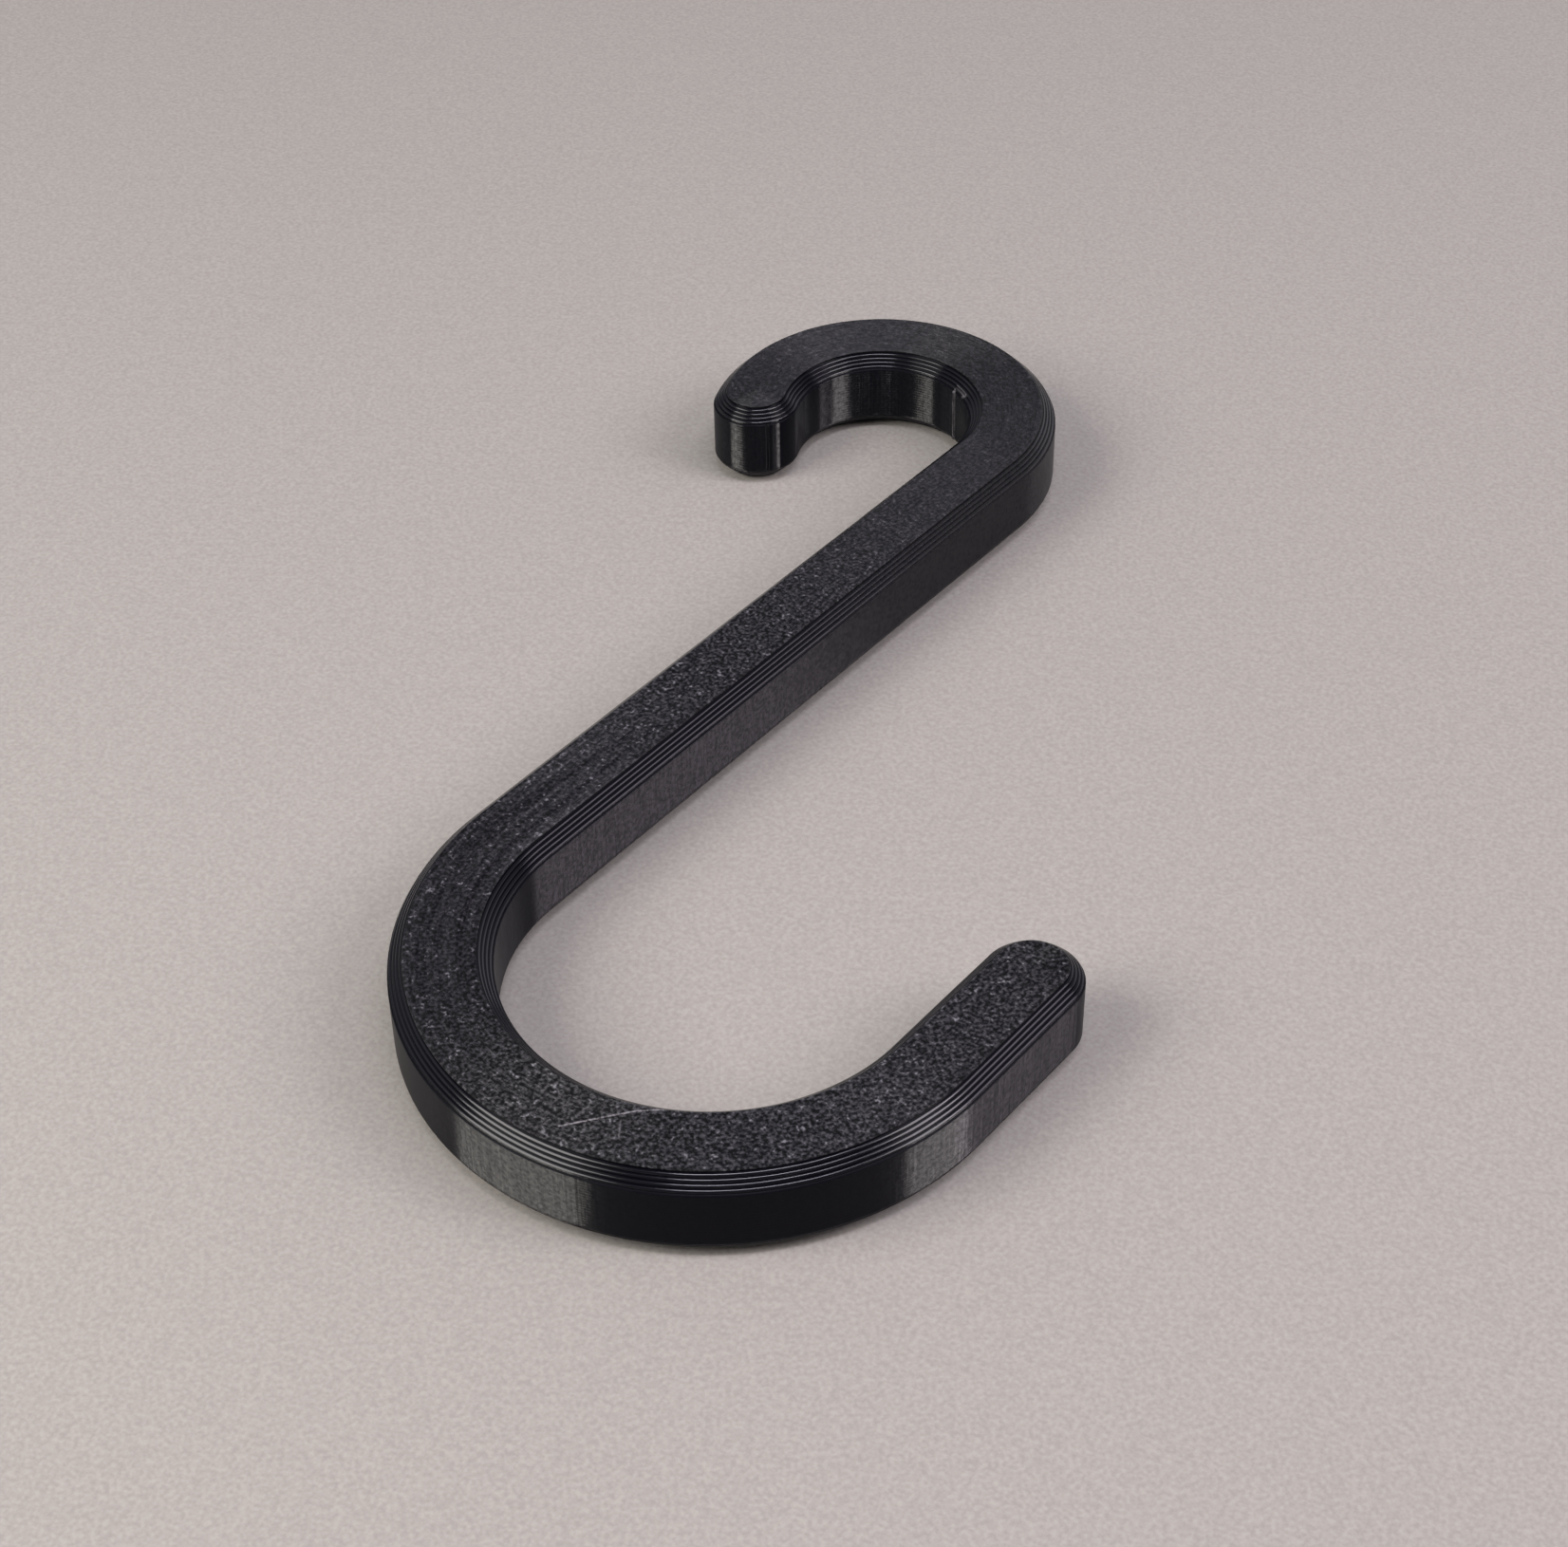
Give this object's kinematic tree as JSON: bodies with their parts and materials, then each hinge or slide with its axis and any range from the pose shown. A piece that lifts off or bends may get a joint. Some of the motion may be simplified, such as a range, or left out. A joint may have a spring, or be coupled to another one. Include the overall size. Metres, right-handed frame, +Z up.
{
  "type": "kitchen rail hook",
  "caption": "S-shaped hook: a small bend closes over a rail, a straight shank joins it to a large bend with a straight lip. Square bar with chamfered edges.",
  "frame": {"origin": "on the underside, below the middle of the shank", "axes": "+Z up out of the lying hook, through its thickness; +Y along the shank towards the rail bend; +X towards the lip of the load bend"},
  "size_m": [0.055, 0.0785, 0.006],
  "materials": {
    "black_plastic": "satin black, printed in layers: grained top face, ribbed chamfers, smooth side walls"
  },
  "bodies": {
    "root": {"hook": "black_plastic"}
  },
  "joints": []
}
